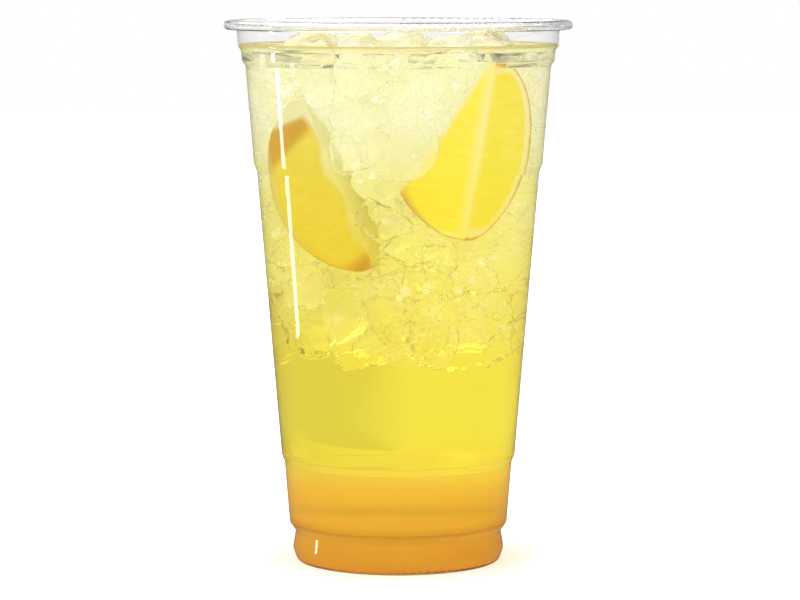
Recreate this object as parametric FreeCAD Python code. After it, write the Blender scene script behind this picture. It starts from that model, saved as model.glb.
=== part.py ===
import FreeCAD, Part
import itertools
import math
import os

from FreeCAD import Placement, Rotation, Vector

# A clear disposable tumbler of iced lemon tea: a thin thermoformed cup with a rolled rim,
# the drink in two layers, and two lemon wedges under its surface.
# Millimetres. The cup stands on z = 0 round the Z axis, and -Y is its front.

# cup: overall sizes
cup_height = 153.0
rim_radius = 49.0
foot_radius = 30.0
wall = 0.5

# rolled rim, measured in and down from the edge of the cup
curl_depth = 2.6
curl_reach = 3.7
curl_lip_width = 1.9
curl_flat = 0.1

# neck, collar and ledge: the upper changes of slope, measured down from the rim
neck_top_depth = 3.4
neck_depth = 7.1
neck_flare = 0.2
neck_drop = 1.2
neck_step = 0.85
collar_depth = 12.6
collar_inset = 6.0
collar_step = 1.0
collar_rise = 1.4
ledge_depth = 42.4
ledge_step = 0.9
ledge_rise = 2.2

# groove and shoulder: the lower changes of slope, measured up from the table
groove_height = 8.5
groove_inset = 0.8
groove_flare = 1.7
lower_wall_height = 10.9
shoulder_height = 28.2
shoulder_flare = 1.4
shoulder_step = 0.8
shoulder_rise = 2.0

# foot ring and raised base panel
foot_bulge_height = 3.4
foot_heel = 1.3
foot_ring_width = 2.3
base_panel_height = 6.0
base_panel_draft = 2.2

# bends of the thermoformed skin: radius on the tight side of the wall
sharp_bend = 0.1
soft_bend = 0.5
foot_bend = 0.8
bulge_bend = 3.5

# drink
head_space = 6.5
syrup_level = 30.0
drink_clearance = 0.2
drink_level = cup_height - head_space

# lemon wedges: quarter and sixth of a lemon with trimmed ends, each set by the middle of its
# core edge: how deep it lies, on which bearing, and how far from the inside of the cup
trimmed_end_radius = 5.0
wedge_clearance = 0.2
right_wedge = {
    "half_length": 25.0,
    "radius": 25.3,
    "angle": 90.0,
    "heading": 68.0,
    "lean_right": 9.5,
    "lean_back": -4.0,
    "depth": 28.6,
    "bearing": -52.5,
    "wall_gap": 5.3,
}
left_wedge = {
    "half_length": 25.0,
    "radius": 24.0,
    "angle": 60.0,
    "heading": 75.0,
    "lean_right": -21.5,
    "lean_back": 6.0,
    "depth": 36.9,
    "bearing": -119.8,
    "wall_gap": 8.7,
}


def section_point(radius, height):
    return Vector(radius, 0, height)


def rounded_wire(corners):
    """An open wire through (radius, height, corner radius) points, its corners rounded."""
    points = [section_point(radius, height) for radius, height, _ in corners]
    edges = []
    start = points[0]
    for index in range(1, len(points) - 1):
        corner = points[index]
        back = (points[index - 1] - corner).normalize()
        ahead = (points[index + 1] - corner).normalize()
        half_angle = back.getAngle(ahead) / 2
        bend = corners[index][2]
        reach = bend / math.tan(half_angle)
        arc_start = corner + back * reach
        arc_end = corner + ahead * reach
        bisector = (back + ahead).normalize()
        arc_middle = corner + bisector * (bend / math.sin(half_angle) - bend)
        edges.append(Part.makeLine(start, arc_start))
        edges.append(Part.Arc(arc_start, arc_middle, arc_end).toShape())
        start = arc_end
    edges.append(Part.makeLine(start, points[-1]))
    return Part.Wire(edges)


def ledge_corners(start_radius, start_height, end_radius, end_height):
    """The ledge, set so that the wall has one and the same taper below it and above it."""
    bend = soft_bend + wall
    height = cup_height - ledge_depth
    taper = (end_radius - start_radius - ledge_step) / (end_height - start_height - ledge_rise)
    radius = start_radius + taper * (height - start_height)
    return [
        (radius, height, bend),
        (radius + ledge_step, height + ledge_rise, bend),
    ]


def vessel_corners():
    """Outside of the cup from the middle of its base up to the top of its neck."""
    sharp = sharp_bend + wall
    soft = soft_bend + wall
    foot_outer = foot_radius - foot_heel
    foot_inner = foot_outer - foot_ring_width
    groove = foot_radius - groove_inset
    lower_wall = groove + groove_flare
    shoulder = lower_wall + shoulder_flare
    shoulder_top = shoulder + shoulder_step
    shoulder_top_height = shoulder_height + shoulder_rise
    collar = rim_radius - collar_inset
    collar_height = cup_height - collar_depth
    neck_top = rim_radius - curl_reach
    neck = neck_top - neck_flare
    neck_height = cup_height - neck_depth
    return [
        (0, base_panel_height, 0),
        (foot_inner - base_panel_draft, base_panel_height, soft),
        (foot_inner, 0, sharp),
        (foot_outer, 0, foot_bend + wall),
        (foot_radius, foot_bulge_height, bulge_bend + wall),
        (groove, groove_height, sharp),
        (lower_wall, lower_wall_height, soft),
        (shoulder, shoulder_height, soft),
        (shoulder_top, shoulder_top_height, soft),
        *ledge_corners(shoulder_top, shoulder_top_height, collar, collar_height),
        (collar, collar_height, sharp),
        (collar + collar_step, collar_height + collar_rise, sharp),
        (neck - neck_step, neck_height - neck_drop, sharp),
        (neck, neck_height, sharp),
        (neck_top, cup_height - neck_top_depth, soft),
    ]


def curl_corners():
    """Underside of the rolled rim, from the top of the neck over and back under itself."""
    inside_top = cup_height - wall
    inside_radius = rim_radius - wall
    lip_height = cup_height - curl_depth + wall
    bend = (inside_top - lip_height - curl_flat) / 2
    return [
        (rim_radius - curl_reach + wall, inside_top, bend),
        (inside_radius, inside_top, bend),
        (inside_radius, lip_height, bend),
        (inside_radius - curl_lip_width, lip_height, 0),
    ]


def turn(section, angle=360):
    return section.revolve(Vector(0, 0, 0), Vector(0, 0, 1), angle)


def make_cup():
    skin = rounded_wire(vessel_corners() + curl_corners())
    section = skin.makeOffset2D(wall, 0, True, True)
    return turn(section)


def make_filling():
    """All that the cup can hold up to the top of its neck, clear of its inner face."""
    skin = rounded_wire(vessel_corners())
    lining = skin.makeOffset2D(wall + drink_clearance, 0, False, True)
    ends = [vertex.Point for vertex in lining.OrderedVertexes]
    bottom = min(ends, key=lambda point: point.x)
    top = max(ends, key=lambda point: point.z)
    axis_top = section_point(0, top.z)
    closing = [Part.makeLine(top, axis_top), Part.makeLine(axis_top, bottom)]
    return turn(Part.Face(Part.Wire(lining.Edges + closing)))


def layer(filling, low, high):
    slab = Part.makeCylinder(rim_radius, high - low, section_point(0, low))
    return filling.common(slab)


def inner_radius(height):
    """Radius of the inside of the side wall at a height above the foot."""
    for lower, upper in itertools.pairwise(vessel_corners()):
        if lower[1] <= height <= upper[1] and upper[0] > foot_radius:
            share = (height - lower[1]) / (upper[1] - lower[1])
            return lower[0] + share * (upper[0] - lower[0]) - wall
    raise ValueError(f"no side wall at height {height}")


def core_middle(sizes):
    """Where the middle of a wedge's core edge lies."""
    height = drink_level - sizes["depth"]
    distance = inner_radius(height) - sizes["wall_gap"]
    bearing = math.radians(sizes["bearing"])
    return Vector(distance * math.cos(bearing), distance * math.sin(bearing), height)


def make_wedge(sizes, clearance=0.0):
    """A lemon wedge turned about its core edge; clearance grows it on every side."""
    core_shift = clearance / math.sin(math.radians(sizes["angle"] / 2))
    half_length = sizes["half_length"] + clearance
    end_radius = trimmed_end_radius + core_shift + clearance
    belly = section_point(sizes["radius"] + core_shift + clearance, 0)
    low_core = section_point(0, -half_length)
    low_rind = section_point(end_radius, -half_length)
    high_rind = section_point(end_radius, half_length)
    high_core = section_point(0, half_length)
    outline = Part.Wire([
        Part.makeLine(low_core, low_rind),
        Part.Arc(low_rind, belly, high_rind).toShape(),
        Part.makeLine(high_rind, high_core),
        Part.makeLine(high_core, low_core),
    ])
    wedge = turn(Part.Face(outline), sizes["angle"])
    middle_line = Rotation(Vector(0, 0, 1), sizes["angle"] / 2)
    wedge.translate(middle_line.multVec(Vector(-core_shift, 0, 0)))
    core = Vector(
        math.tan(math.radians(sizes["lean_right"])),
        math.tan(math.radians(sizes["lean_back"])),
        1,
    )
    lean = Rotation(Vector(0, 0, 1), core)
    heading = Rotation(Vector(0, 0, 1), sizes["heading"])
    wedge.Placement = Placement(core_middle(sizes), lean * heading) * wedge.Placement
    return wedge


def make_parts():
    filling = make_filling()
    wedges = {"lemon_wedge_right": right_wedge, "lemon_wedge_left": left_wedge}
    pockets = [make_wedge(sizes, wedge_clearance) for sizes in wedges.values()]
    parts = {
        "cup": make_cup(),
        "syrup_layer": layer(filling, 0, syrup_level),
        "tea_layer": layer(filling, syrup_level, drink_level).cut(pockets),
    }
    for name, sizes in wedges.items():
        parts[name] = make_wedge(sizes)
    return parts


os.makedirs("parts", exist_ok=True)
for node, shape in make_parts().items():
    shape.exportStep(os.path.join("parts", node + ".step"))
    print(node, shape.ShapeType, shape.isValid(), round(shape.Volume), "mm3")
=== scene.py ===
import math
import random

import bmesh
import bpy
from mathutils import Matrix, Vector, noise
from mathutils.bvhtree import BVHTree


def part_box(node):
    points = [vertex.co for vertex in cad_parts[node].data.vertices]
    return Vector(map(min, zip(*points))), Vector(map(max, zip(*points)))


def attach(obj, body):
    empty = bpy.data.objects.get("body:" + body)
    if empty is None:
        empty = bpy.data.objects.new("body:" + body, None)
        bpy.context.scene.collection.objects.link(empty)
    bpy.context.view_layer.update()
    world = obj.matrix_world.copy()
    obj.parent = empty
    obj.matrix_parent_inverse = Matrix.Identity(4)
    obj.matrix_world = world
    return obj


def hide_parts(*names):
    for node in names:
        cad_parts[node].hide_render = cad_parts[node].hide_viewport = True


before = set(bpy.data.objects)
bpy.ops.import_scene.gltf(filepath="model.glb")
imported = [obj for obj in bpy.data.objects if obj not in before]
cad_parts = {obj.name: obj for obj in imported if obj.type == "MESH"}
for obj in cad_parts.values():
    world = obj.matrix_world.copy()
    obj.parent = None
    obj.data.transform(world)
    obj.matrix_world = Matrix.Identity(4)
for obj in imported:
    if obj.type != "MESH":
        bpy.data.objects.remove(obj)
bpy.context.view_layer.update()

mm = 0.001
scene = bpy.context.scene
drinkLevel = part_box("tea_layer")[1].z
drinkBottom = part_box("syrup_layer")[0].z


def linearColour(hexCode, alpha=1.0):
    channels = [int(hexCode[i:i + 2], 16) / 255 for i in (0, 2, 4)]
    linear = [c / 12.92 if c <= 0.04045 else ((c + 0.055) / 1.055) ** 2.4 for c in channels]
    return (*linear, alpha)


def addNode(tree, kind, settings=None, links=None):
    node = tree.nodes.new(kind)
    for name, value in (settings or {}).items():
        if isinstance(name, str) and hasattr(node, name):
            setattr(node, name, value)
        else:
            node.inputs[name].default_value = value
    for name, source in (links or {}).items():
        tree.links.new(source if isinstance(source, bpy.types.NodeSocket) else source.outputs[0],
                       node.inputs[name])
    return node


def newMaterial(name):
    material = bpy.data.materials.new(name)
    material.use_nodes = True
    material.node_tree.nodes.clear()
    return material, material.node_tree


def setRamp(node, stops):
    ramp = node.color_ramp
    while len(ramp.elements) < len(stops):
        ramp.elements.new(0.5)
    for element, (place, colour) in zip(ramp.elements, stops):
        element.position = place
        element.color = colour
    return node


def letLampsThrough(tree, surface, tint):
    # lamps and soft light pass straight through clear walls, which would block them otherwise
    path = addNode(tree, "ShaderNodeLightPath")
    either = addNode(tree, "ShaderNodeMath", {"operation": "MAXIMUM"},
                     {0: path.outputs["Is Shadow Ray"], 1: path.outputs["Is Diffuse Ray"]})
    straight = addNode(tree, "ShaderNodeBsdfTransparent", {"Color": tint})
    return addNode(tree, "ShaderNodeMixShader", None, {0: either, 1: surface, 2: straight})


def meshObject(name, vertices, faces, smooth=True):
    mesh = bpy.data.meshes.new(name)
    mesh.from_pydata(vertices, [], faces)
    mesh.update()
    if smooth:
        mesh.shade_smooth()
    thing = bpy.data.objects.new(name, mesh)
    scene.collection.objects.link(thing)
    return thing


def pointOutwards(thing):
    shape = bmesh.new()
    shape.from_mesh(thing.data)
    bmesh.ops.remove_doubles(shape, verts=shape.verts, dist=0.001 * mm)
    bmesh.ops.recalc_face_normals(shape, faces=shape.faces)
    shape.to_mesh(thing.data)
    shape.free()


# ---- cup
cup = {
    "plasticIor": 1.44,          # low for PET, as the thin stretched wall mirrors little
    "roughness": 0.012,
    "tint": "FFFFFF",
    "lampTint": "FEFEFE",
    "pullScale": 90.0,           # marks about 11 mm apart, drawn out up the wall
    "pullDepth": 0.12 * mm,
}


def clearPet():
    # PET sheet, thermoformed: clear and glossy, with faint pull marks
    material, tree = newMaterial("thermoformedClearPet")
    place = addNode(tree, "ShaderNodeTexCoord")
    stretch = addNode(tree, "ShaderNodeMapping", {"Scale": (1, 1, 0.12)},
                      {"Vector": place.outputs["Object"]})
    pulls = addNode(tree, "ShaderNodeTexNoise", {"Scale": cup["pullScale"], "Detail": 2.0},
                    {"Vector": stretch})
    bump = addNode(tree, "ShaderNodeBump", {"Strength": 0.25, "Distance": cup["pullDepth"]},
                   {"Height": pulls})
    plastic = addNode(tree, "ShaderNodeBsdfPrincipled",
                      {"Base Color": linearColour(cup["tint"]), "Transmission Weight": 1.0,
                       "IOR": cup["plasticIor"], "Roughness": cup["roughness"]},
                      {"Normal": bump})
    mixed = letLampsThrough(tree, plastic, linearColour(cup["lampTint"]))
    addNode(tree, "ShaderNodeOutputMaterial", None, {"Surface": mixed})
    return material


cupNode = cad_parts["cup"]
cupNode.data.materials[0] = clearPet()
print("cup finished")


# ---- drink
drink = {
    "intoWall": 0.45 * mm,       # past the CAD clearance and just into the plastic
    "ior": 1.335,
    "turns": 144,
    "meniscusRise": 0.9 * mm,    # the tea creeps this far up the wall, to the level stated
    "meniscusWidth": 2.6 * mm,
    "meniscusSteps": 8,
    "waveHeight": 0.5 * mm,
    "calmWidth": 4 * mm,         # the waves die away this near the wall
    "surfaceRings": 22,
    "baseRadius": 20 * mm,       # inside this the base is flat and needs no rings
    "foot": (28 * mm, 9 * mm),   # radius and height that the side wall starts above
    "teaColours": ((0, "F0B850"), (2.5, "FFEE46"), (60, "FFEC48"), (75, "FFEF62"),
                   (92, "FFF474"), (108, "FFFA9E"), (116, "FFFEC8"),
                   (125, "FFFEE8"), (136, "FFFEE0"), (146, "FFFCD8")),    # by height in mm
    # painted shade for the golden line where the tea curves up the wall
    "meniscusShadeColour": "F0DC7C",
    "teaLampTint": "FFFEF4",
    "steepColour": (0.962, 0.91, 0.0, 1.0),
    "steepDensity": 3.0,
}


def liningOutline():
    # (radius, height) once round the lining of the cup, from the rings of the CAD drink
    counts = {}
    for node in ("syrup_layer", "tea_layer"):
        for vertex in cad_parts[node].data.vertices:
            spot = (round(math.hypot(vertex.co.x, vertex.co.y), 6), round(vertex.co.z, 6))
            counts[spot] = counts.get(spot, 0) + 1
    wholeRing = 60               # fewer points than this are the edge of a pocket
    rings = [spot for spot, count in counts.items()
             if count > wholeRing and spot[0] > drink["baseRadius"]]
    standing = [r for r, z in rings if z < drinkBottom + 0.01 * mm]
    footMiddle = sum(standing) / max(1, len(standing))
    inner = sorted((s for s in rings if s[0] < footMiddle), key=lambda s: (-s[1], s[0]))
    outer = sorted((s for s in rings if s[0] >= footMiddle), key=lambda s: (s[1], s[0]))
    kept = []
    for spot in inner + outer:
        if not kept or math.dist(spot, kept[-1]) > 0.12 * mm:
            kept.append(spot)
    return kept


def pushedOut(outline, distance):
    # the outline moved away from the drink, square to its own run
    moved = []
    for index, (r, z) in enumerate(outline):
        before = outline[max(index - 1, 0)]
        after = outline[min(index + 1, len(outline) - 1)]
        run = Vector((after[0] - before[0], after[1] - before[1])).normalized()
        moved.append((r + run.y * distance, z - run.x * distance))
    return moved


lining = liningOutline()


def wallRadius(height):
    # radius of the inside wall at a height
    footRadius, footTop = drink["foot"]
    wall = [s for s in lining if s[1] > footTop or s[0] > footRadius]
    for low, high in zip(wall, wall[1:]):
        if low[1] <= height <= high[1]:
            share = (height - low[1]) / max(high[1] - low[1], 1e-9)
            return low[0] + share * (high[0] - low[0])
    return wall[0][0] if height < wall[0][1] else wall[-1][0]


def turned(name, outline, turns):
    # a closed body turned from an outline that starts and ends on the axis
    vertices, faces = [], []
    for r, z in outline:
        if r < 1e-7:
            vertices.append([(0, 0, z)])
        else:
            vertices.append([(r * math.cos(2 * math.pi * t / turns),
                              r * math.sin(2 * math.pi * t / turns), z) for t in range(turns)])
    starts, flat = [], []
    for ring in vertices:
        starts.append(len(flat))
        flat += ring
    for a, b in zip(range(len(vertices)), range(1, len(vertices))):
        one, two = len(vertices[a]), len(vertices[b])
        for t in range(turns):
            n = (t + 1) % turns
            if one == 1 and two > 1:
                faces.append((starts[a], starts[b] + n, starts[b] + t))
            elif two == 1 and one > 1:
                faces.append((starts[a] + t, starts[a] + n, starts[b]))
            elif one > 1 and two > 1:
                faces.append((starts[a] + t, starts[a] + n, starts[b] + n, starts[b] + t))
    return meshObject(name, flat, faces)


def makeDrink():
    wall = pushedOut(lining, drink["intoWall"])
    edgeRadius = wall[-1][0]
    flat = drinkLevel - drink["meniscusRise"]
    inside = [(r, z) for r, z in wall if z < flat - 0.2 * mm]
    surface = [(edgeRadius, drinkLevel)]
    for step in range(1, drink["meniscusSteps"] + 1):
        away = drink["meniscusWidth"] * (step / drink["meniscusSteps"]) ** 1.6
        fall = math.exp(-3.2 * away / drink["meniscusWidth"])
        surface.append((edgeRadius - away, flat + drink["meniscusRise"] * fall))
    inner = surface[-1][0]
    for step in range(1, drink["surfaceRings"]):
        surface.append((inner * (1 - step / drink["surfaceRings"]), flat))
    outline = [(0, wall[0][1])] + inside + surface + [(0, flat)]
    body = turned("drink", outline, drink["turns"])
    for vertex in body.data.vertices:
        away = math.hypot(vertex.co.x, vertex.co.y)
        if vertex.co.z > flat - 0.1 * mm and away < edgeRadius - 0.1 * mm:
            calm = min(1.0, (edgeRadius - away) / drink["calmWidth"])
            wave = noise.noise(vertex.co * 70) + 0.5 * noise.noise(vertex.co * 160)
            vertex.co.z += drink["waveHeight"] * calm * (wave - 0.4)
    pointOutwards(body)
    # the curved edge at the wall, marked for a golden line of painted shade
    meniscusShade = []
    for vertex in body.data.vertices:
        away = math.hypot(vertex.co.x, vertex.co.y)
        ring = vertex.co.z > flat - 0.7 * mm and away > edgeRadius - 0.45 * mm
        meniscusShade.append(1.0 if ring else 0.0)
    body.data.attributes.new("meniscusShade", "FLOAT", "POINT").data.foreach_set("value", meniscusShade)
    return body


def heightRamp(tree, stops):
    # a colour that changes with height; stops are heights in mm and hex colours
    place = addNode(tree, "ShaderNodeTexCoord")
    height = addNode(tree, "ShaderNodeSeparateXYZ", None, {0: place.outputs["Object"]})
    low, high = stops[0][0] * mm, stops[-1][0] * mm
    share = addNode(tree, "ShaderNodeMapRange", {"From Min": low, "From Max": high},
                    {"Value": height.outputs["Z"]})
    ramp = addNode(tree, "ShaderNodeValToRGB", None, {"Fac": share})
    return setRamp(ramp, [((z * mm - low) / (high - low), linearColour(code)) for z, code in stops])


def lemonTea():
    # brewed tea with lemon: clear, palest at the top where melting ice thins it
    material, tree = newMaterial("chilledLemonTea")
    depth = heightRamp(tree, drink["teaColours"])
    # the thin edge that clings to the wall is painted golden and nearly solid, a painted shade
    # standing in for the light its curve bends
    meniscusShade = addNode(tree, "ShaderNodeAttribute", {"attribute_name": "meniscusShade"})
    colour = addNode(tree, "ShaderNodeMix",
                     {"data_type": "RGBA", 7: linearColour(drink["meniscusShadeColour"])},
                     {0: meniscusShade.outputs["Fac"], 6: depth})
    clear = addNode(tree, "ShaderNodeMapRange", {"To Min": 1.0, "To Max": 0.15},
                    {"Value": meniscusShade.outputs["Fac"]})
    tea = addNode(tree, "ShaderNodeBsdfPrincipled",
                  {"IOR": drink["ior"], "Roughness": 0.0},
                  {"Base Color": colour.outputs[2], "Transmission Weight": clear})
    mixed = letLampsThrough(tree, tea, linearColour(drink["teaLampTint"]))
    steep = addNode(tree, "ShaderNodeVolumeAbsorption",
                    {"Color": drink["steepColour"], "Density": drink["steepDensity"]})
    addNode(tree, "ShaderNodeOutputMaterial", None, {"Surface": mixed, "Volume": steep})
    return material


drinkBody = makeDrink()
drinkBody.data.materials.append(lemonTea())
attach(drinkBody, "root")
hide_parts("tea_layer")
print("tea poured")


# ---- syrup
syrup = {
    "inset": 0.35 * mm,          # in from the lining, so that it lies inside the tea's own skin
    "top": 42 * mm,              # it has faded out well under this
    "colours": ((0, "EEBA60"), (4, "E2AA50"), (12.6, "ECBA5A"), (19, "F5CC6C"),
                (24.5, "FEE8A0"), (29.6, "FFF8D8"), (36, "FFFFFF")),      # by height in mm
    "cloudyTo": 14 * mm,
    "clearFrom": 33 * mm,
    "cloudiest": 0.35,           # share of the light that goes straight through
    "lampTint": "FFECD6",
}


def citrusSyrup():
    # orange syrup that has sunk: cloudy with pulp, its colour thinning out upwards into the tea
    material, tree = newMaterial("citrusSyrup")
    depth = heightRamp(tree, syrup["colours"])
    place = addNode(tree, "ShaderNodeTexCoord")
    height = addNode(tree, "ShaderNodeSeparateXYZ", None, {0: place.outputs["Object"]})
    clear = addNode(tree, "ShaderNodeMapRange",
                    {"From Min": syrup["cloudyTo"], "From Max": syrup["clearFrom"],
                     "To Min": syrup["cloudiest"], "To Max": 1.0},
                    {"Value": height.outputs["Z"]})
    # it bends no light of its own, as it mixes into the tea round it
    body = addNode(tree, "ShaderNodeBsdfPrincipled",
                   {"IOR": 1.0, "Roughness": 0.0},
                   {"Base Color": depth, "Transmission Weight": clear})
    mixed = letLampsThrough(tree, body, linearColour(syrup["lampTint"]))
    addNode(tree, "ShaderNodeOutputMaterial", None, {"Surface": mixed})
    return material


def makeSyrup():
    sunk = pushedOut(lining, -syrup["inset"])
    top = syrup["top"]
    inside = [(r, z) for r, z in sunk if z < top]
    outline = [(0, sunk[0][1])] + inside + [(wallRadius(top) - syrup["inset"], top), (0, top)]
    body = turned("syrup", outline, drink["turns"])
    pointOutwards(body)
    return body


syrupBody = makeSyrup()
syrupBody.data.materials.append(citrusSyrup())
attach(syrupBody, "root")
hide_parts("syrup_layer")
print("syrup poured")


# ---- lemon wedges
lemon = {
    "alongSteps": 56,
    "acrossSteps": 16,
    "peelSteps": 22,
    "endRadius": 5 * mm,         # what is left of the trimmed ends
    "freshFlesh": ("FFE220", "FFF66E"),
    "olderFlesh": ("E2C838", "F4E05C"),
    "freshPith": "FFF2B4",
    "olderPith": "EAD044",
    "freshCore": "FFF09C",
    "olderCore": "EAD044",
    "rind": "DDB62C",
    # the colour of peel in shade, painted on the cut faces
    "paintedPeelShade": "D2A024",
    "rime": ((70, "F2E67C"), (92, "F8F0A0"), (110, "FCF8C4"), (130, "FFFEDC")),
    "sacStretch": (0.12, 0.62, 1.0),      # juice sacs about 8 mm long and 1.5 mm wide
}


def readWedge(node):
    # finds the core edge, the two cut faces and the size of a CAD wedge from its own faces
    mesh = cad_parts[node].data
    areas = {}
    for face in mesh.polygons:
        key = tuple(round(c, 2) for c in face.normal)
        areas[key] = areas.get(key, 0) + face.area
    cuts = [Vector(key) for key, area in sorted(areas.items(), key=lambda item: -item[1])[:2]]
    spots = []
    for cut in cuts:
        spots.append(max(vertex.co.dot(cut) for vertex in mesh.vertices))
    along = cuts[0].cross(cuts[1]).normalized()
    if along.z < 0:
        along = -along
    rows = Matrix((cuts[0], cuts[1], along))
    middle = rows.inverted() @ Vector((spots[0], spots[1], 0))
    reach = [(vertex.co - middle).dot(along) for vertex in mesh.vertices]
    middle += along * (min(reach) + max(reach)) / 2
    half = (max(reach) - min(reach)) / 2
    rays = []
    for cut in cuts:
        ray = along.cross(cut).normalized()
        away = [(vertex.co - middle).dot(ray) for vertex in mesh.vertices]
        if max(away) < -min(away):
            ray = -ray
        rays.append(ray)
    radius = max(((vertex.co - middle) - along * (vertex.co - middle).dot(along)).length
                 for vertex in mesh.vertices)
    return {"middle": middle, "along": along, "rays": rays, "half": half, "radius": radius}


def makeWedge(name, node, look):
    cut = readWedge(node)
    endRadius = lemon["endRadius"]
    half, radius = cut["half"], cut["radius"]
    bulge = (radius ** 2 - endRadius ** 2 - half ** 2) / (2 * (radius - endRadius))
    arcRadius = radius - bulge
    first, second = cut["rays"]
    angle = first.angle(second)
    side = (second - first * first.dot(second)).normalized()
    vertices, faces, peelMm, coreMm, alongMm = [], [], [], [], []
    frost, paintedPeelShade = [], []
    leftIsFirst = first.x < second.x
    across, peel, steps = lemon["acrossSteps"], lemon["peelSteps"], lemon["alongSteps"]
    ring = 2 * across + peel
    for row in range(steps + 1):
        height = half * (2 * row / steps - 1)
        reach = bulge + math.sqrt(max(arcRadius ** 2 - height ** 2, 0))
        for place in range(ring):
            if place <= across:
                share, spin = place / across, 0.0
            elif place < across + peel:
                share, spin = 1.0, (place - across) / peel * angle
            else:
                share, spin = (ring - place) / across, angle
            ray = first * math.cos(spin) + side * math.sin(spin)
            away = reach * share
            point = cut["middle"] + cut["along"] * height + ray * away
            vertices.append(point)
            leftShare = 1 - spin / angle if leftIsFirst else spin / angle
            endGap = half - abs(height)
            thin = look["pithThin"] if leftShare == 1 else 1.0
            peelMm.append(min(reach - away, endGap) * thin / mm if share < 1 else 0.0)
            coreMm.append(away / mm * (look["corePale"] if leftShare == 1 else 1.0))
            alongMm.append(height / mm)
            frost.append(look["frost"](height / half, away / radius, leftShare))
            # painted peel shade on the cut faces
            paintedPeelShade.append(look["peel"](height / half, share, leftShare))
    for row in range(steps):
        for place in range(ring):
            n = (place + 1) % ring
            faces.append((row * ring + place, row * ring + n,
                          (row + 1) * ring + n, (row + 1) * ring + place))
    faces.append(tuple(range(ring))[::-1])
    faces.append(tuple(steps * ring + place for place in range(ring)))
    wedge = meshObject(name, vertices, faces)
    tone = [look["tone"]] * len(vertices)
    for title, values in (("peelMm", peelMm), ("coreMm", coreMm), ("alongMm", alongMm),
                          ("frost", frost), ("paintedPeelShade", paintedPeelShade), ("tone", tone)):
        attribute = wedge.data.attributes.new(title, "FLOAT", "POINT")
        attribute.data.foreach_set("value", values)
    pointOutwards(wedge)
    wedge.data.set_sharp_from_angle(angle=math.radians(35))
    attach(wedge, "root")
    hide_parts(node)
    return wedge


def blend(value, low, high):
    share = min(1.0, max(0.0, (value - low) / (high - low)))
    return share * share * (3 - 2 * share)


def rightFrost(along, away, leftShare):
    # ice has frozen onto the upper outer part of the left-hand face and on round the peel
    if leftShare < 1:
        return blend(leftShare, 0.5, 0.9) * blend(along, -0.72, -0.5)
    return blend(away - 0.47 * (1 - along), -0.02, 0.10)


def leftFrost(along, away, leftShare):
    # and onto the far face, the top end and, in an uneven line, the core edge of the other one
    topEnd = blend(along, 0.74, 0.84)
    if leftShare < 1:
        return max(blend(1 - leftShare, 0.1, 0.35), topEnd)
    return max(topEnd, 0.85 * blend(away - 0.88 + 0.3 * abs(along), 0.0, 0.14),
               0.95 * blend(0.16 + 0.05 * math.sin(9 * along) - away, 0.0, 0.14))


def rightPeelShade(along, out, leftShare):
    # how far a cut face is painted with the colour of peel in shade, standing in for the shaded
    # peel seen at its rind edge and tips
    if leftShare == 1:
        return 0.8 * blend(out, 0.82, 1.0) * blend(-along, -0.2, 0.4)
    return 0.0


def leftPeelShade(along, out, leftShare):
    # painted peel shade in bands at the top end and the bottom tip of the cut face
    if leftShare < 1:
        return 0.0
    return max(blend(along + 0.3 * out, 0.62, 0.76), blend(-along - 0.1 * out, 0.74, 0.9))


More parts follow.
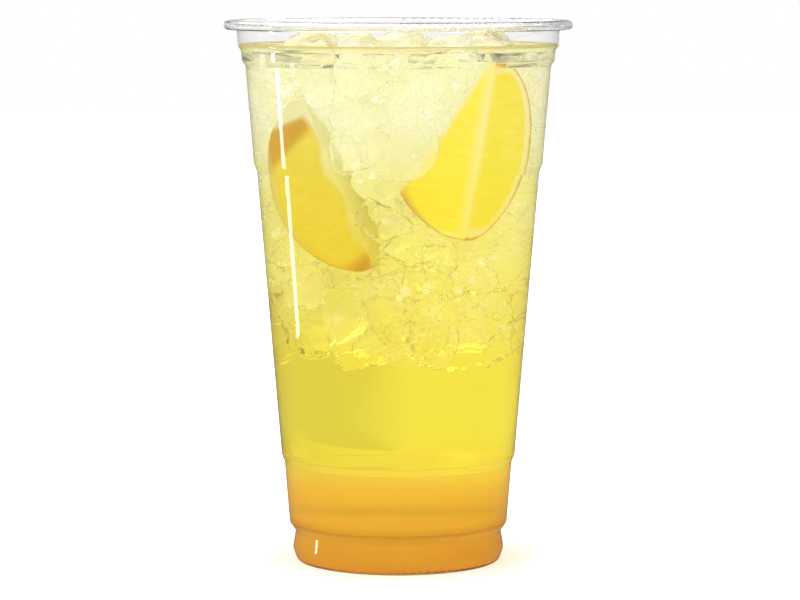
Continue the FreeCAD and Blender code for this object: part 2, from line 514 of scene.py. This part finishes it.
def wetLemon():
    # cut lemon, wet: glossy peel, pale spongy pith, and flesh of long juice sacs
    material, tree = newMaterial("wetCutLemon")
    peel = addNode(tree, "ShaderNodeAttribute", {"attribute_name": "peelMm"})
    core = addNode(tree, "ShaderNodeAttribute", {"attribute_name": "coreMm"})
    frost = addNode(tree, "ShaderNodeAttribute", {"attribute_name": "frost"})
    tone = addNode(tree, "ShaderNodeAttribute", {"attribute_name": "tone"})
    place = addNode(tree, "ShaderNodeTexCoord")
    blot = addNode(tree, "ShaderNodeTexNoise", {"Scale": 260.0, "Detail": 3.0},
                   {"Vector": place.outputs["Object"]})
    ragged = addNode(tree, "ShaderNodeMath", {"operation": "MULTIPLY_ADD", 1: 1.4, 2: -0.7},
                     {0: blot.outputs["Fac"]})
    edge = addNode(tree, "ShaderNodeMath", {"operation": "ADD"},
                   {0: peel.outputs["Fac"], 1: ragged})
    rind = addNode(tree, "ShaderNodeMapRange", {"From Min": 0.3, "From Max": 1.1}, {"Value": edge})
    fleshy = addNode(tree, "ShaderNodeMapRange", {"From Min": 2.6, "From Max": 4.0},
                     {"Value": edge})
    coreEdge = addNode(tree, "ShaderNodeMapRange", {"From Min": 0.5, "From Max": 2.2},
                       {"Value": core.outputs["Fac"]})
    # the juice sacs lie out from the core to the peel
    length = addNode(tree, "ShaderNodeAttribute", {"attribute_name": "alongMm"})
    around = addNode(tree, "ShaderNodeCombineXYZ", None,
                     {"X": core.outputs["Fac"], "Y": length.outputs["Fac"]})
    drawn = addNode(tree, "ShaderNodeMapping", {"Scale": lemon["sacStretch"]},
                    {"Vector": around})
    sacs = addNode(tree, "ShaderNodeTexNoise", {"Scale": 1.0, "Detail": 3.0, "Distortion": 0.8},
                   {"Vector": drawn})
    # the flesh runs between deeper and paler golden along its juice sacs, and is deeper throughout
    # on the older wedge
    freshDark, freshLight = (linearColour(code) for code in lemon["freshFlesh"])
    olderDark, olderLight = (linearColour(code) for code in lemon["olderFlesh"])
    fresh = addNode(tree, "ShaderNodeMix", {"data_type": "RGBA", 6: freshDark, 7: freshLight},
                    {0: sacs.outputs["Fac"]})
    older = addNode(tree, "ShaderNodeMix", {"data_type": "RGBA", 6: olderDark, 7: olderLight},
                    {0: sacs.outputs["Fac"]})
    flesh = addNode(tree, "ShaderNodeMix", {"data_type": "RGBA"},
                    {0: tone.outputs["Fac"], 6: fresh.outputs[2], 7: older.outputs[2]})
    pith = addNode(tree, "ShaderNodeMix",
                   {"data_type": "RGBA", 6: linearColour(lemon["freshPith"]),
                    7: linearColour(lemon["olderPith"])}, {0: tone.outputs["Fac"]})
    pale = addNode(tree, "ShaderNodeMix", {"data_type": "RGBA"},
                   {0: fleshy, 6: pith.outputs[2], 7: flesh.outputs[2]})
    middle = addNode(tree, "ShaderNodeMix",
                     {"data_type": "RGBA", 6: linearColour(lemon["freshCore"]),
                      7: linearColour(lemon["olderCore"])}, {0: tone.outputs["Fac"]})
    cored = addNode(tree, "ShaderNodeMix", {"data_type": "RGBA"},
                    {0: coreEdge, 6: middle.outputs[2], 7: pale.outputs[2]})
    skin = addNode(tree, "ShaderNodeMix",
                   {"data_type": "RGBA", 6: linearColour(lemon["rind"])},
                   {0: rind, 7: cored.outputs[2]})
    # cut faces painted towards the colour of peel in shade
    paintedPeelShade = addNode(tree, "ShaderNodeAttribute", {"attribute_name": "paintedPeelShade"})
    skin = addNode(tree, "ShaderNodeMix",
                   {"data_type": "RGBA", 7: linearColour(lemon["paintedPeelShade"])},
                   {0: paintedPeelShade.outputs["Fac"], 6: skin.outputs[2]})
    frosted = addNode(tree, "ShaderNodeMath", {"operation": "MULTIPLY_ADD", 1: 0.5, 2: -0.25},
                      {0: blot.outputs["Fac"]})
    frosted = addNode(tree, "ShaderNodeMath", {"operation": "ADD", "use_clamp": True},
                      {0: frost.outputs["Fac"], 1: frosted})
    frosted = addNode(tree, "ShaderNodeMath", {"operation": "MULTIPLY", "use_clamp": True},
                      {0: frosted, 1: frost.outputs["Fac"]})
    # rime is full of the tea's own colour low down and nearly white near the top
    rime = heightRamp(tree, lemon["rime"])
    coated = addNode(tree, "ShaderNodeMix", {"data_type": "RGBA"},
                     {0: frosted, 6: skin.outputs[2], 7: rime})
    bump = addNode(tree, "ShaderNodeBump", {"Strength": 0.35, "Distance": 0.4 * mm},
                   {"Height": sacs.outputs["Fac"]})
    # rime on the older wedge lets some light through
    thin = addNode(tree, "ShaderNodeMath", {"operation": "MULTIPLY_ADD", 1: 0.35, 2: 0.1},
                   {0: tone.outputs["Fac"]})
    seeThrough = addNode(tree, "ShaderNodeMath", {"operation": "MULTIPLY"}, {0: frosted, 1: thin})
    body = addNode(tree, "ShaderNodeBsdfPrincipled",
                   {"Roughness": 0.4, "IOR": 1.03},
                   {"Base Color": coated.outputs[2], "Normal": bump,
                    "Transmission Weight": seeThrough})
    addNode(tree, "ShaderNodeOutputMaterial", None, {"Surface": body})
    return material


wedges = {
    "lemonRight": {"node": "lemon_wedge_right", "frost": rightFrost, "peel": rightPeelShade,
                   "tone": 0.0, "corePale": 0.55, "pithThin": 2.2},
    "lemonLeft": {"node": "lemon_wedge_left", "frost": leftFrost, "peel": leftPeelShade,
                  "tone": 1.0, "corePale": 1.0, "pithThin": 1.0},
}
lemonLook = wetLemon()
for wedgeName, wedgeLook in wedges.items():
    wedgePiece = makeWedge(wedgeName, wedgeLook["node"], wedgeLook)
    wedgePiece.data.materials.append(lemonLook)
print("lemon wedges cut")


# ---- ice
ice = {
    "seed": 21,
    "lowest": 59.5 * mm,
    "uneven": 4 * mm,            # how much the underside of the ice rises and hangs
    "thawed": 96 * mm,           # above this most lumps are soft and milky
    "wallGap": 0.7 * mm,
    "wedgeGap": 0.3 * mm,
    "worn": 0.86,                # a lump's real reach, as a share of its size
    "sizes": ((12.0 * mm, 26), (9.5 * mm, 60), (7.0 * mm, 110), (5.0 * mm, 130)),
    "overlap": 0.86,             # how near two lumps may lie, as a share of their sizes
    "bankOverlap": 0.72,
    "tries": 6000,
    "tipCount": 11,
    "tipSize": 8.5 * mm,
    "tipRise": 3.6 * mm,         # how far the floating ones stand out of the tea
    "awash": 1.6 * mm,           # the floating ones are flat from this far under the surface
    "bankSize": 7.6 * mm,        # milky lumps banked against the right-hand wedge
    "bankTries": 4000,
    "fleckCount": 420,
    "fleckSize": 1.5 * mm,
}
iceKinds = {                     # IOR is against the tea, and higher where ice is half in air
    "iceFloating": {"finish": "wetFloatingIce", "ior": 1.18, "clearest": 0.98, "milkiest": 0.7,
                    "ripplePitch": 160.0, "squareness": 0.3, "dents": 3.0 * mm,
                    "pitch": 120.0, "seed": 4, "steps": 12},
    "iceMilky": {"finish": "thawedMilkyIce", "ior": 1.014, "clearest": 0.94, "milkiest": 0.62,
                 "ripplePitch": 120.0, "squareness": 0.18, "dents": 3.2 * mm,
                 "pitch": 80.0, "seed": 6, "steps": 10},
    "iceFlecks": {"squareness": 0.1, "dents": 0.8 * mm, "pitch": 400.0, "seed": 5, "steps": 4},
    "iceSunk": {"finish": "wetSunkIce", "ior": 1.029, "clearest": 1.0, "milkiest": 0.8,
                "ripplePitch": 200.0, "squareness": 0.6, "dents": 4.4 * mm,
                "pitch": 165.0, "seed": 9, "steps": 13},
}


def wedgeTrees():
    trees = []
    for name, look in wedges.items():
        shape = bmesh.new()
        shape.from_mesh(bpy.data.objects[name].data)
        trees.append((BVHTree.FromBMesh(shape), readWedge(look["node"]), look["frost"]))
        shape.free()
    return trees


def clearOfLemon(trees, point, size):
    for tree, cut, frost in trees:
        spot, normal, index, away = tree.find_nearest(point)
        if (point - spot).dot(normal) < 0 or away < size * ice["worn"] + ice["wedgeGap"]:
            return False
    return True


def hidesFruit(trees, point, size):
    # true where a lump would lie before a bare face of a wedge, seen from the front of the cup
    for across, up in ((0, 0), (-0.8, 0), (0.8, 0), (0, -0.8), (0, 0.8)):
        start = point + Vector((across, 0, up)) * size
        for tree, cut, frost in trees:
            spot, normal, index, away = tree.ray_cast(start, Vector((0, 1, 0)))
            if spot is None:
                continue
            reach = spot - cut["middle"]
            along = reach.dot(cut["along"])
            out = (reach - cut["along"] * along).length
            left = min(cut["rays"], key=lambda r: r.x)
            leftShare = 1 if abs(reach.dot(cut["along"].cross(left))) < 0.4 * mm else 0
            if frost(along / cut["half"], out / cut["radius"], leftShare) < 0.5:
                return True
    return False


def bankedIce(trees, dice):
    # lumps lying on the left-hand face of the right-hand wedge, over its upper and outer part
    cut = readWedge("lemon_wedge_right")
    ray = min(cut["rays"], key=lambda r: r.x)
    across = cut["along"].cross(ray).normalized()
    if across.y > 0:
        across = -across
    banked = []
    for attempt in range(ice["bankTries"]):
        size = ice["bankSize"] * dice.uniform(0.55, 1.15)
        up = dice.uniform(-0.75, 1.0)
        out = dice.uniform(-0.05, 1.15)
        if out < 0.42 - 0.72 * up + 0.5 * size / cut["radius"]:
            continue
        point = (cut["middle"] + cut["along"] * up * cut["half"] + ray * out * cut["radius"]
                 + across * (size * ice["worn"] + ice["wedgeGap"]
                             + dice.uniform(0.1, 2.5) * mm))
        if point.z > drinkLevel - size:
            continue
        if math.hypot(point.x, point.y) > wallRadius(point.z - size * 0.4) - size - ice["wallGap"]:
            continue
        if not clearOfLemon(trees, point, size) or hidesFruit(trees, point, size):
            continue
        if all((point - p).length > ice["bankOverlap"] * (size + s) for p, s in banked):
            banked.append((point, size))
    print("banked lumps", len(banked))
    return banked


def packIce():
    # lumps dropped in at random, big ones first, none through the wall or the lemon
    dice = random.Random(ice["seed"])
    trees = wedgeTrees()
    tips, sunk = [], []
    for attempt in range(400):
        if len(tips) == ice["tipCount"]:
            break
        size = ice["tipSize"] * dice.uniform(0.8, 1.15)
        z = drinkLevel + ice["tipRise"] - 1.05 * size
        reach = wallRadius(z) - size - ice["wallGap"]
        spin = dice.uniform(0, 2 * math.pi)
        away = reach * math.sqrt(dice.uniform(0.1, 1.0))
        point = Vector((away * math.cos(spin), away * math.sin(spin), z))
        apart = all((point - p).length > ice["overlap"] * (size + s) for p, s in tips)
        if clearOfLemon(trees, point, size) and apart:
            tips.append((point, size))
    for point, size in tips:     # what is under water of each floating lump
        lower = size * 0.8
        sunk.append((Vector((point.x, point.y, drinkLevel - ice["awash"] - lower)), lower))
    sunk += bankedIce(trees, dice)
    bankCount = len(sunk)
    for size, count in ice["sizes"]:
        placed = 0
        for attempt in range(ice["tries"]):
            if placed == count:
                break
            own = size * dice.uniform(0.88, 1.12)
            spin = dice.uniform(0, 2 * math.pi)
            hang = ice["uneven"] * noise.noise(Vector((math.cos(spin), math.sin(spin), 0)) * 2.3)
            z = dice.uniform(ice["lowest"] + hang + own * 0.85, drinkLevel - own)
            reach = wallRadius(z - own * 0.4) - own - ice["wallGap"]
            away = reach * math.sqrt(dice.uniform(0, 1.0))
            point = Vector((away * math.cos(spin), away * math.sin(spin), z))
            if not clearOfLemon(trees, point, own) or hidesFruit(trees, point, own):
                continue
            if all((point - p).length > ice["overlap"] * (own + s) for p, s in sunk + tips):
                sunk.append((point, own))
                placed += 1
    return tips, sunk, bankCount


def sortIce(sunk, bankCount):
    # the upper lumps have thawed soft and milky, the lower ones are still hard-edged
    dice = random.Random(ice["seed"] + 1)
    soft, hard = [], []
    for index, (point, size) in enumerate(sunk):
        milky = index < bankCount or point.z > ice["thawed"] + dice.uniform(-14, 14) * mm
        (soft if milky else hard).append((point, size))
    return soft, hard


def iceTree(name, material):
    # worn ice: a cube rounded off, turned and sized at each point, then dented
    tree = bpy.data.node_groups.new(name, "GeometryNodeTree")
    face = tree.interface
    face.new_socket("Geometry", in_out="INPUT", socket_type="NodeSocketGeometry")
    squareness = face.new_socket("Squareness", in_out="INPUT", socket_type="NodeSocketFloat")
    dents = face.new_socket("Dent depth", in_out="INPUT", socket_type="NodeSocketFloat")
    pitch = face.new_socket("Dent pitch", in_out="INPUT", socket_type="NodeSocketFloat")
    seed = face.new_socket("Seed", in_out="INPUT", socket_type="NodeSocketInt")
    steps = face.new_socket("Steps", in_out="INPUT", socket_type="NodeSocketInt")
    face.new_socket("Geometry", in_out="OUTPUT", socket_type="NodeSocketGeometry")
    start = addNode(tree, "NodeGroupInput")
    count = start.outputs["Steps"]
    cube = addNode(tree, "GeometryNodeMeshCube", {"Size": (2, 2, 2)},
                   {"Vertices X": count, "Vertices Y": count, "Vertices Z": count})
    here = addNode(tree, "GeometryNodeInputPosition")
    ball = addNode(tree, "ShaderNodeVectorMath", {"operation": "NORMALIZE"}, {0: here})
    ball = addNode(tree, "ShaderNodeVectorMath", {"operation": "SCALE", "Scale": 1.12}, {0: ball})
    shaped = addNode(tree, "ShaderNodeMix", {"data_type": "VECTOR"},
                     {0: start.outputs["Squareness"], 4: ball, 5: here})
    lump = addNode(tree, "GeometryNodeSetPosition", None,
                   {"Geometry": cube, "Position": shaped.outputs[1]})
    smooth = addNode(tree, "GeometryNodeSetShadeSmooth", None, {"Geometry": lump})
    size = addNode(tree, "GeometryNodeInputNamedAttribute", {"Name": "lumpSize"})
    turn = addNode(tree, "FunctionNodeRandomValue",
                   {"data_type": "FLOAT_VECTOR", 0: (0, 0, 0), 1: (6.283, 6.283, 6.283)},
                   {"Seed": start.outputs["Seed"]})
    uneven = addNode(tree, "FunctionNodeRandomValue",
                     {"data_type": "FLOAT_VECTOR", 0: (0.72, 0.8, 0.7), 1: (1.04, 1.06, 1.02)},
                     {"Seed": start.outputs["Seed"]})
    scale = addNode(tree, "ShaderNodeVectorMath", {"operation": "SCALE"},
                    {0: uneven.outputs[0], "Scale": size})
    spread = addNode(tree, "GeometryNodeInstanceOnPoints", None,
                     {"Points": start, "Instance": smooth, "Rotation": turn.outputs[0],
                      "Scale": scale})
    whole = addNode(tree, "GeometryNodeRealizeInstances", None, {"Geometry": spread})
    frost = addNode(tree, "ShaderNodeTexNoise", {"Detail": 3.0, "Roughness": 0.55},
                    {"Scale": start.outputs["Dent pitch"]})
    depth = addNode(tree, "ShaderNodeMath", {"operation": "SUBTRACT", 1: 0.62},
                    {0: frost.outputs["Fac"]})
    depth = addNode(tree, "ShaderNodeMath", {"operation": "MULTIPLY"},
                    {0: depth, 1: start.outputs["Dent depth"]})
    outward = addNode(tree, "GeometryNodeInputNormal")
    push = addNode(tree, "ShaderNodeVectorMath", {"operation": "SCALE"},
                   {0: outward, "Scale": depth})
    dented = addNode(tree, "GeometryNodeSetPosition", None, {"Geometry": whole, "Offset": push})
    coated = addNode(tree, "GeometryNodeSetMaterial", {"Material": material}, {"Geometry": dented})
    addNode(tree, "NodeGroupOutput", None, {"Geometry": coated})
    return tree, {"squareness": squareness, "dents": dents, "pitch": pitch, "seed": seed,
                  "steps": steps}


def makeIce(name, lumps, material, lowest=None):
    seeds = meshObject(name + "Seeds", [point for point, size in lumps], [], smooth=False)
    sizeData = seeds.data.attributes.new("lumpSize", "FLOAT", "POINT")
    sizeData.data.foreach_set("value", [size for point, size in lumps])
    tree, sockets = iceTree(name + "Nodes", material)
    grow = seeds.modifiers.new("grow", "NODES")
    grow.node_group = tree
    for key, socket in sockets.items():
        grow[socket.identifier] = iceKinds[name][key]
    bpy.context.view_layer.update()
    seen = seeds.evaluated_get(bpy.context.evaluated_depsgraph_get())
    mesh = bpy.data.meshes.new_from_object(seen)
    mesh.name = name
    if lowest is not None:       # flattened off just below the surface of the tea
        for vertex in mesh.vertices:
            vertex.co.z = max(vertex.co.z, lowest + 0.02 * (vertex.co.z - lowest))
    piece = bpy.data.objects.new(name, mesh)
    scene.collection.objects.link(piece)
    bpy.data.objects.remove(seeds)
    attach(piece, "root")
    return piece


def scatterFlecks(lumps):
    # air bubbles and crumbs of white ice on the lumps, in small clusters
    dice = random.Random(ice["seed"] + 2)
    trees = wedgeTrees()
    flecks = []
    while len(flecks) < ice["fleckCount"]:
        point, size = dice.choice(lumps)
        way = Vector([dice.gauss(0, 1) for axis in range(3)]).normalized()
        if way.y > 0.5:          # none on the backs of the lumps
            continue
        for crumb in range(dice.randint(2, 9)):
            stray = 0.28 * Vector([dice.gauss(0, 1) for axis in range(3)])
            spot = point + (way + stray) * size * 0.9
            own = ice["fleckSize"] * dice.uniform(0.25, 1.0) ** 2
            away = math.hypot(spot.x, spot.y)
            if spot.z > drinkLevel - 3 * mm or away > wallRadius(spot.z) - 1.5 * mm - own:
                continue
            if clearOfLemon(trees, spot, own) and not hidesFruit(trees, spot, own):
                flecks.append((spot, own))
    return flecks


def whiteIce():
    # crumbs full of air: matt white, a little see-through in a fine grain
    material, tree = newMaterial("crushedWhiteIce")
    place = addNode(tree, "ShaderNodeTexCoord")
    grain = addNode(tree, "ShaderNodeTexNoise", {"Scale": 900.0, "Detail": 2.0},
                    {"Vector": place.outputs["Object"]})
    clear = addNode(tree, "ShaderNodeMapRange", {"To Min": 0.2, "To Max": 0.8},
                    {"Value": grain.outputs["Fac"]})
    white = addNode(tree, "ShaderNodeBsdfPrincipled",
                    {"Base Color": linearColour("FFFFFC"), "IOR": 1.05, "Roughness": 0.3},
                    {"Transmission Weight": clear})
    mixed = letLampsThrough(tree, white, linearColour("FFFFFE"))
    addNode(tree, "ShaderNodeOutputMaterial", None, {"Surface": mixed})
    return material


def freezerIce(kind):
    # melting ice: wet outside, with milky clouds of trapped air that scatter a little light
    material, tree = newMaterial(kind["finish"])
    place = addNode(tree, "ShaderNodeTexCoord")
    clouds = addNode(tree, "ShaderNodeTexNoise", {"Scale": 75.0, "Detail": 3.0, "Roughness": 0.55},
                     {"Vector": place.outputs["Object"]})
    clear = addNode(tree, "ShaderNodeMapRange",
                    {"From Min": 0.42, "From Max": 0.68,
                     "To Min": kind["clearest"], "To Max": kind["milkiest"]},
                    {"Value": clouds.outputs["Fac"]})
    rough = addNode(tree, "ShaderNodeMapRange",
                    {"From Min": 0.42, "From Max": 0.68, "To Min": 0.06, "To Max": 0.3},
                    {"Value": clouds.outputs["Fac"]})
    ripple = addNode(tree, "ShaderNodeTexNoise", {"Scale": kind["ripplePitch"], "Detail": 2.0},
                     {"Vector": place.outputs["Object"]})
    bump = addNode(tree, "ShaderNodeBump", {"Strength": 0.35, "Distance": 0.5 * mm},
                   {"Height": ripple.outputs["Fac"]})
    wet = addNode(tree, "ShaderNodeBsdfPrincipled",
                  {"Base Color": linearColour("FFFFF8"), "IOR": kind["ior"]},
                  {"Transmission Weight": clear, "Roughness": rough, "Normal": bump})
    mixed = letLampsThrough(tree, wet, linearColour("FFFFFE"))
    addNode(tree, "ShaderNodeOutputMaterial", None, {"Surface": mixed})
    return material


iceTips, iceSunk, iceBanked = packIce()
iceSoft, iceHard = sortIce(iceSunk, iceBanked)
print("ice lumps", len(iceTips), len(iceSoft), len(iceHard))
makeIce("iceFloating", iceTips, freezerIce(iceKinds["iceFloating"]), drinkLevel - ice["awash"])
makeIce("iceMilky", iceSoft, freezerIce(iceKinds["iceMilky"]))
makeIce("iceFlecks", scatterFlecks(iceSoft + iceHard), whiteIce())
makeIce("iceSunk", iceHard, freezerIce(iceKinds["iceSunk"]))


# ---- stage, lamps and camera
studio = {
    "floorHalf": 3.0,
    "cameraDistance": 0.934,
    "cameraHeight": 0.168,
    "cameraRight": 0.0005,
    "cameraTilt": 5.75,          # degrees down, from just above the rim
    "lens": 149.1,
    "softLight": 0.68,           # the room's own light, all round
    "paintedShadeReach": (0.034, 0.065),        # the floor's painted glow rises from least to full over these distances, a painted shade round the cup's real soft shadow
    "floorGlow": (0.1, 0.6),     # the painted glow that lifts the floor, within the painted shade and beyond it
    "bounces": 48,               # many, as light crosses dozens of lumps of ice
    "lamps": (                   # place, aim, width and height in metres, watts
        ("keyLamp", (-0.5, -0.6, 0.95), (0, 0, 0.07), (0.6, 0.6), 4.8),
        ("fillLamp", (0.8, -0.5, 0.6), (0, 0, 0.07), (0.6, 0.6), 2.6),
        ("backLamp", (-0.2, 0.9, 0.8), (0, 0, 0.07), (0.8, 0.6), 3.0),
    ),
    "stripLamp": ("stripLamp", (-0.324, 0.045, 0.055), (-0.033, -0.026, 0.055),
                  (0.024, 0.11), 0.1),
}


def makeFloor():
    half = studio["floorHalf"]
    floor = meshObject("floor", [(-half, -half, 0), (half, -half, 0), (half, half, 0),
                                 (-half, half, 0)], [(0, 1, 2, 3)], smooth=False)
    material, tree = newMaterial("paintedWhiteTable")
    matte = addNode(tree, "ShaderNodeBsdfDiffuse", {"Color": linearColour("F4F4F2")})
    path = addNode(tree, "ShaderNodeLightPath")
    # seen straight on it is lifted to white by a painted glow, least round the cup, so that its
    # soft shadow stays, ringed by painted shade
    place = addNode(tree, "ShaderNodeTexCoord")
    away = addNode(tree, "ShaderNodeVectorMath", {"operation": "LENGTH"},
                   {0: place.outputs["Object"]})
    near, far = studio["paintedShadeReach"]
    least, most = studio["floorGlow"]
    lift = addNode(tree, "ShaderNodeMapRange",
                   {"From Min": near, "From Max": far, "To Min": least, "To Max": most},
                   {"Value": away.outputs["Value"]})
    glow = addNode(tree, "ShaderNodeEmission", {"Color": (1, 1, 1, 1)}, {"Strength": lift})
    lifted = addNode(tree, "ShaderNodeAddShader", None, {0: matte, 1: glow})
    # through the drink it continues the backdrop as a painted glow, greyer before the cup and to
    # the right
    parts = addNode(tree, "ShaderNodeSeparateXYZ", None, {0: place.outputs["Object"]})
    share = addNode(tree, "ShaderNodeMapRange", {"From Min": -0.15, "From Max": 0.15},
                    {"Value": parts.outputs["Y"]})
    depth = addNode(tree, "ShaderNodeValToRGB", None, {"Fac": share})
    setRamp(depth, [(0.0, linearColour("E8E8E8")), (0.4, linearColour("D8D8D8")),
                    (0.7, linearColour("FFFFFF"))])
    side = addNode(tree, "ShaderNodeMapRange", {"From Min": -0.2, "From Max": 0.2},
                   {"Value": parts.outputs["X"]})
    across = addNode(tree, "ShaderNodeValToRGB", None, {"Fac": side})
    setRamp(across, [(0.0, linearColour("FFFFFF")), (0.4, linearColour("FFFFFF")),
                     (0.75, linearColour("E8E8E8"))])
    paintedBackdropGlow = addNode(tree, "ShaderNodeMix", {"data_type": "RGBA", "blend_type": "MULTIPLY", 0: 1.0},
                    {6: across, 7: depth})
    through = addNode(tree, "ShaderNodeEmission", {"Strength": 1.0}, {"Color": paintedBackdropGlow.outputs[2]})
    # mirrored in the plastic it is dim, as the dark room is
    mirrored = addNode(tree, "ShaderNodeEmission", {"Color": linearColour("707070"),
                                                    "Strength": 1.0})
    mixed = addNode(tree, "ShaderNodeMixShader", None,
                    {0: path.outputs["Is Camera Ray"], 1: matte, 2: lifted})
    mixed = addNode(tree, "ShaderNodeMixShader", None,
                    {0: path.outputs["Is Glossy Ray"], 1: mixed, 2: mirrored})
    mixed = addNode(tree, "ShaderNodeMixShader", None,
                    {0: path.outputs["Is Transmission Ray"], 1: mixed, 2: through})
    addNode(tree, "ShaderNodeOutputMaterial", None, {"Surface": mixed})
    floor.data.materials.append(material)


def makeWorld():
    world = bpy.data.worlds.new("whiteStudio")
    scene.world = world
    world.use_nodes = True
    tree = world.node_tree
    tree.nodes.clear()
    path = addNode(tree, "ShaderNodeLightPath")
    # through the drink: white behind, pale grey before, dimmer at the sides and to the right
    way = addNode(tree, "ShaderNodeTexCoord")
    parts = addNode(tree, "ShaderNodeSeparateXYZ", None, {0: way.outputs["Generated"]})
    side = addNode(tree, "ShaderNodeMapRange", {"From Min": -1.0, "From Max": 1.0},
                   {"Value": parts.outputs["X"]})
    across = addNode(tree, "ShaderNodeValToRGB", None, {"Fac": side})
    setRamp(across, [(0.0, linearColour("FFFFFF")), (0.36, linearColour("FFFFFF")),
                     (0.5, linearColour("FCFCFC")), (0.64, linearColour("F8F8F8")),
                     (0.84, linearColour("E6E6E6"))])
    share = addNode(tree, "ShaderNodeMapRange", {"From Min": -1.0, "From Max": 1.0},
                    {"Value": parts.outputs["Y"]})
    depth = addNode(tree, "ShaderNodeValToRGB", None, {"Fac": share})
    setRamp(depth, [(0.0, linearColour("E8E8E8")), (0.3, linearColour("E8E8E8")),
                    (0.42, linearColour("C8C8C8")), (0.56, linearColour("C8C8C8")),
                    (0.64, linearColour("FFFFFF"))])
    room = addNode(tree, "ShaderNodeMix", {"data_type": "RGBA", "blend_type": "MULTIPLY", 0: 1.0},
                   {6: across, 7: depth})
    # mirrored in the plastic: dimmer sides, so its edges stay clear
    mirror = addNode(tree, "ShaderNodeValToRGB", None, {"Fac": share})
    setRamp(mirror, [(0.0, linearColour("707070")), (0.5, linearColour("686868")),
                     (0.9, linearColour("686868")), (0.99, linearColour("C0C0C0"))])
    white = addNode(tree, "ShaderNodeBackground", {"Color": (1, 1, 1, 1), "Strength": 1.0})
    behind = addNode(tree, "ShaderNodeBackground", {"Strength": 1.0}, {"Color": room.outputs[2]})
    around = addNode(tree, "ShaderNodeBackground", {"Strength": 1.0}, {"Color": mirror})
    soft = addNode(tree, "ShaderNodeBackground",
                   {"Color": (1, 1, 1, 1), "Strength": studio["softLight"]})
    mixed = addNode(tree, "ShaderNodeMixShader", None,
                    {0: path.outputs["Is Glossy Ray"], 1: soft, 2: around})
    mixed = addNode(tree, "ShaderNodeMixShader", None,
                    {0: path.outputs["Is Transmission Ray"], 1: mixed, 2: behind})
    mixed = addNode(tree, "ShaderNodeMixShader", None,
                    {0: path.outputs["Is Camera Ray"], 1: mixed, 2: white})
    addNode(tree, "ShaderNodeOutputWorld", None, {"Surface": mixed})


def makeLamp(name, place, target, size, power):
    data = bpy.data.lights.new(name, "AREA")
    data.shape = "RECTANGLE"
    data.size, data.size_y = size
    data.energy = power
    lamp = bpy.data.objects.new(name, data)
    scene.collection.objects.link(lamp)
    lamp.location = place
    lamp.rotation_euler = (Vector(target) - Vector(place)).to_track_quat("-Z", "Y").to_euler()
    return lamp


def makeCamera():
    data = bpy.data.cameras.new("camera")
    data.lens = studio["lens"]
    data.sensor_width = 36.0
    camera = bpy.data.objects.new("camera", data)
    scene.collection.objects.link(camera)
    camera.location = (studio["cameraRight"], -studio["cameraDistance"], studio["cameraHeight"])
    camera.rotation_euler = (math.radians(90 - studio["cameraTilt"]), 0, 0)
    scene.camera = camera


makeFloor()
makeWorld()
for lampSettings in studio["lamps"]:
    makeLamp(*lampSettings)
stripLamp = makeLamp(*studio["stripLamp"])
stripLamp.visible_camera = False        # only its streak on the plastic is wanted
stripLamp.visible_transmission = False
makeCamera()
scene.view_settings.view_transform = "Standard"
scene.cycles.max_bounces = studio["bounces"]
scene.cycles.transmission_bounces = studio["bounces"]
scene.cycles.transparent_max_bounces = studio["bounces"]
print("stage set")
